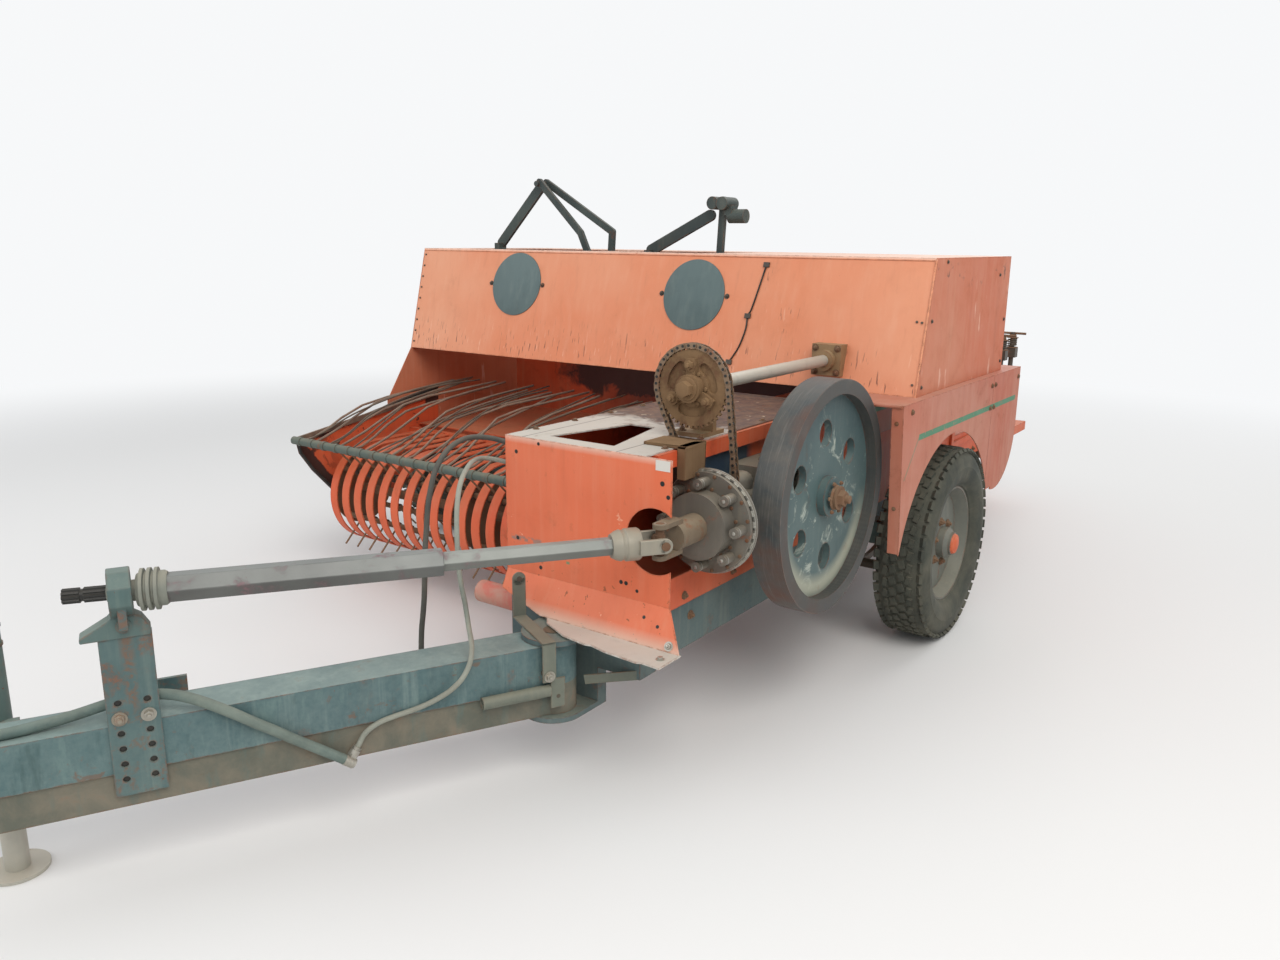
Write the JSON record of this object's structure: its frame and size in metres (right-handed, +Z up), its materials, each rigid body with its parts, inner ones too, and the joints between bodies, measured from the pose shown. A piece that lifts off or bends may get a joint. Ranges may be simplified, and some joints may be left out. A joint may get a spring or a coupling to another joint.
{
  "type": "square baler",
  "caption": "Trailed square baler with side pickup, cross feeder housing, flywheel and chain drive, folding drawbar and rear bale chute.",
  "frame": {"origin": "ground level, under the middle of the overall box", "axes": "+X forward along the bale chamber, +Y to the left of the machine, +Z up"},
  "size_m": [5.5804, 2.755, 1.767],
  "materials": {
    "orange_paint": "faded, dusty",
    "blue_grey_paint": "faded",
    "tan_paint": "dusty",
    "pale_sheet": "worn, bare",
    "grey_casting": "dusty",
    "dark_steel": "oily",
    "rusty_steel": "rusty",
    "bright_steel": "worn",
    "green_grey_paint": "faded",
    "rim_paint": "faded",
    "tyre_rubber": "dusty",
    "hose_rubber": "matt",
    "hose_pale": "matt",
    "hose_teal": "woven sheath"
  },
  "bodies": {
    "chassis": {"frame_rails": "blue_grey_paint", "axle_beam": "blue_grey_paint", "chamber_shell": "orange_paint", "chamber_hood": "orange_paint", "front_plate": "orange_paint", "hood_cover": "pale_sheet", "housing_front": "orange_paint", "housing_left_end": "orange_paint", "housing_right_end": "orange_paint", "housing_top": "orange_paint", "housing_rear": "orange_paint", "feed_table": "orange_paint", "feeder_arms": "rusty_steel", "fender_front": "orange_paint", "fender_rear": "orange_paint", "gearbox": "grey_casting", "drive_pinion": "rusty_steel", "feeder_sprocket": "rusty_steel", "feeder_chain": "rusty_steel", "feeder_shaft": "bright_steel", "shaft_bearing": "tan_paint", "sprocket_bracket": "tan_paint", "plunger": "dark_steel", "knotter_stack": "dark_steel", "twine_box": "orange_paint", "tension_rails": "dark_steel", "joint_yoke": "grey_casting", "pivot_pin": "dark_steel", "front_tray": "pale_sheet"},
    "wheel_left": {"tyre_left": "tyre_rubber", "rim_left": "rim_paint"},
    "wheel_right": {"tyre_right": "tyre_rubber", "rim_right": "rim_paint"},
    "flywheel": {"flywheel": "blue_grey_paint"},
    "clutch": {"clutch": "bright_steel"},
    "drawbar": {"drawbar": "blue_grey_paint", "hitch": "grey_casting", "pto_bracket": "blue_grey_paint", "latch_tube": "tan_paint", "jack_tube": "blue_grey_paint", "hose_dark": "hose_rubber", "hose_pale": "hose_pale", "hose_sheathed": "hose_teal", "hose_fittings": "bright_steel"},
    "jack_leg": {"jack_leg": "bright_steel"},
    "shaft_rear": {"pto_inner": "rusty_steel"},
    "shaft_front": {"pto_outer": "rusty_steel"},
    "pickup": {"pickup_frame": "orange_paint"},
    "reel": {"pickup_reel": "rusty_steel"},
    "guard": {"wind_guard": "green_grey_paint"},
    "needles": {"needle_yoke": "dark_steel"},
    "lid": {"twine_box_lid": "orange_paint"},
    "chute": {"bale_chute": "orange_paint"}
  },
  "joints": [
    {"name": "wheel_left_spin", "type": "hinge", "parent": "chassis", "child": "wheel_left", "pos_m": [-0.37017, 1.2775, 0.374], "axis": [0, 1, 0], "continuous": true},
    {"name": "wheel_right_spin", "type": "hinge", "parent": "chassis", "child": "wheel_right", "pos_m": [-0.37017, -1.2775, 0.374], "axis": [0, 1, 0], "continuous": true},
    {"name": "flywheel_spin", "type": "hinge", "parent": "chassis", "child": "flywheel", "pos_m": [0.55983, 1.1775, 0.735], "axis": [0, 1, 0], "continuous": true},
    {"name": "clutch_spin", "type": "hinge", "parent": "chassis", "child": "clutch", "pos_m": [1.02983, 1.1025, 0.735], "axis": [1, 0, 0], "continuous": true},
    {"name": "drawbar_swing", "type": "hinge", "parent": "chassis", "child": "drawbar", "pos_m": [1.31983, 0.7775, 0.35], "axis": [0, 0, 1], "range_deg": [0, 33]},
    {"name": "jack_slide", "type": "slide", "parent": "drawbar", "child": "jack_leg", "axis": [0, 0, 1], "range_m": [0, 0.18]},
    {"name": "drive_shaft_rear_swing", "type": "hinge", "parent": "chassis", "child": "shaft_rear", "pos_m": [1.26983, 1.1025, 0.735], "axis": [0, 0, 1], "range_deg": [0, 28.4]},
    {"name": "drive_shaft_front_swing", "type": "hinge", "parent": "drawbar", "child": "shaft_front", "pos_m": [2.29053, 0.34659, 0.728], "axis": [0, 0, 1], "range_deg": [-5.2, 0]},
    {"name": "pickup_lift", "type": "hinge", "parent": "chassis", "child": "pickup", "pos_m": [0.01483, -0.3225, 0.54], "axis": [0, -1, 0], "range_deg": [-9, 8]},
    {"name": "reel_spin", "type": "hinge", "parent": "pickup", "child": "reel", "pos_m": [0.41983, -0.3225, 0.38], "axis": [0, -1, 0], "continuous": true},
    {"name": "guard_lift", "type": "hinge", "parent": "pickup", "child": "guard", "pos_m": [-0.04017, -0.3225, 0.76], "axis": [0, -1, 0], "range_deg": [0, 25]},
    {"name": "needle_swing", "type": "hinge", "parent": "chassis", "child": "needles", "pos_m": [-0.72017, 0.7775, 0.56], "axis": [0, 1, 0], "range_deg": [0, 70]},
    {"name": "twine_box_lid_hinge", "type": "hinge", "parent": "chassis", "child": "lid", "pos_m": [-1.57517, 0.5335, 1], "axis": [-1, 0, 0], "range_deg": [0, 95]},
    {"name": "bale_chute_fold", "type": "hinge", "parent": "chassis", "child": "chute", "pos_m": [-2.25517, 0.7775, 0.452], "axis": [0, 1, 0], "range_deg": [0, 90]}
  ],
  "couplings": [
    {"joint": "clutch_spin", "follows": "flywheel_spin", "ratio": 1},
    {"joint": "drive_shaft_rear_swing", "follows": "drawbar_swing", "ratio": 0.851},
    {"joint": "drive_shaft_front_swing", "follows": "drawbar_swing", "ratio": -0.149}
  ]
}
